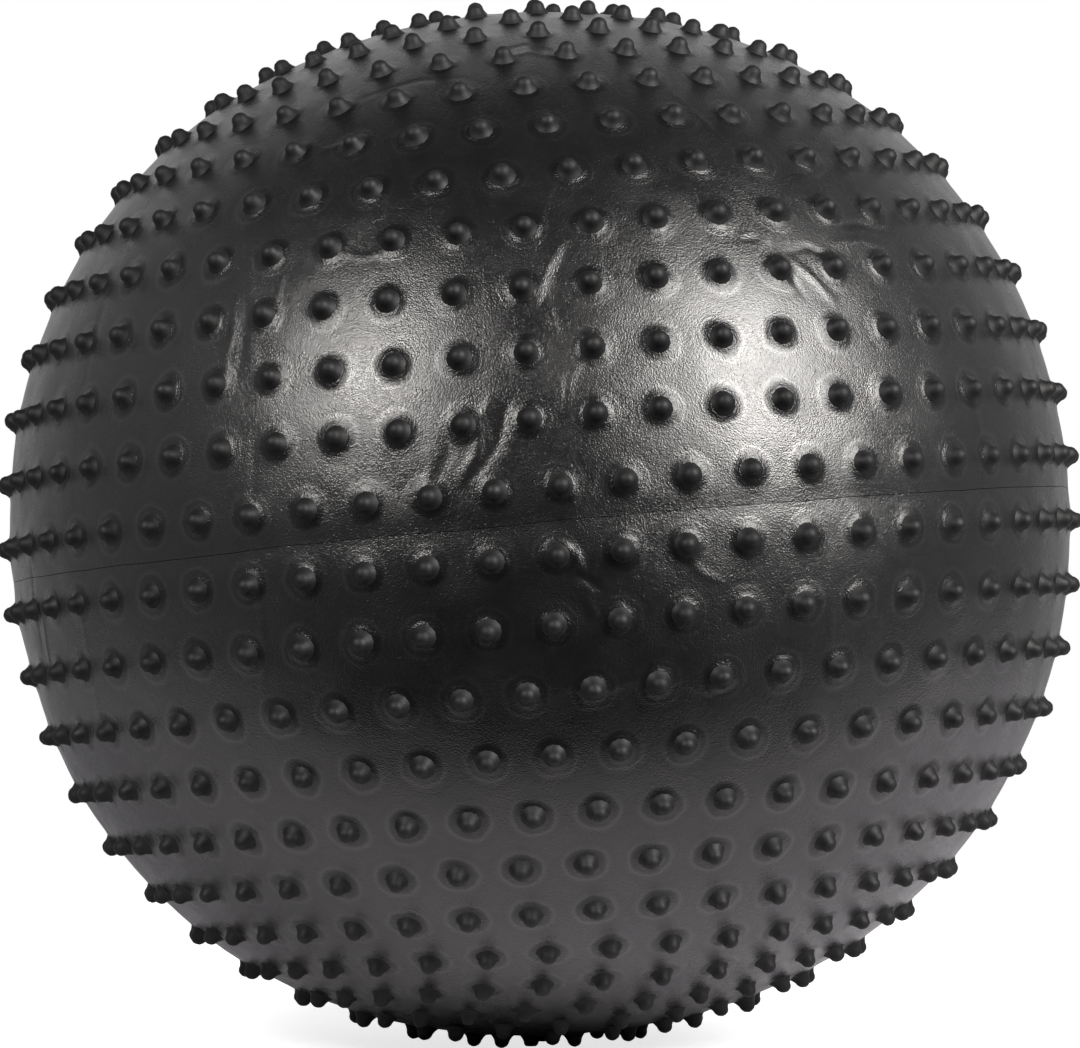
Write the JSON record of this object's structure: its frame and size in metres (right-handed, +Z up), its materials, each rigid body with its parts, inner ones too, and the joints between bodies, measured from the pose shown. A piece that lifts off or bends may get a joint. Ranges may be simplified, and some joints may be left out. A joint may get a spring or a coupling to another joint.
{
  "type": "studded exercise ball",
  "caption": "Large inflated black ball with round-tipped studs in rows over its whole skin, a parting seam round its waist and a press-in air valve stopper.",
  "frame": {"origin": "on the floor under the middle of the ball", "axes": "+Z up from the floor; the mould's axis leans 5.1 degrees towards -X and 1.5 degrees towards +Y, so the parting seam rises towards +X; the ball is seen from -Y"},
  "size_m": [0.6693, 0.6696, 0.6457],
  "materials": {
    "skin": "soft black PVC with a fine leather grain, semi-gloss, with smoother studs",
    "valve": "smooth black PVC, satin",
    "plug": "smooth black PVC, satin"
  },
  "bodies": {
    "ball": {"shell_upper_half": "skin", "shell_lower_half": "skin", "valve_insert": "valve"},
    "stopper": {"valve_plug": "plug"}
  },
  "joints": [
    {"name": "stopper_pull", "type": "slide", "parent": "ball", "child": "stopper", "axis": [-0.0889, 0.0262, 0.9957], "range_m": [0, 0.03]}
  ]
}
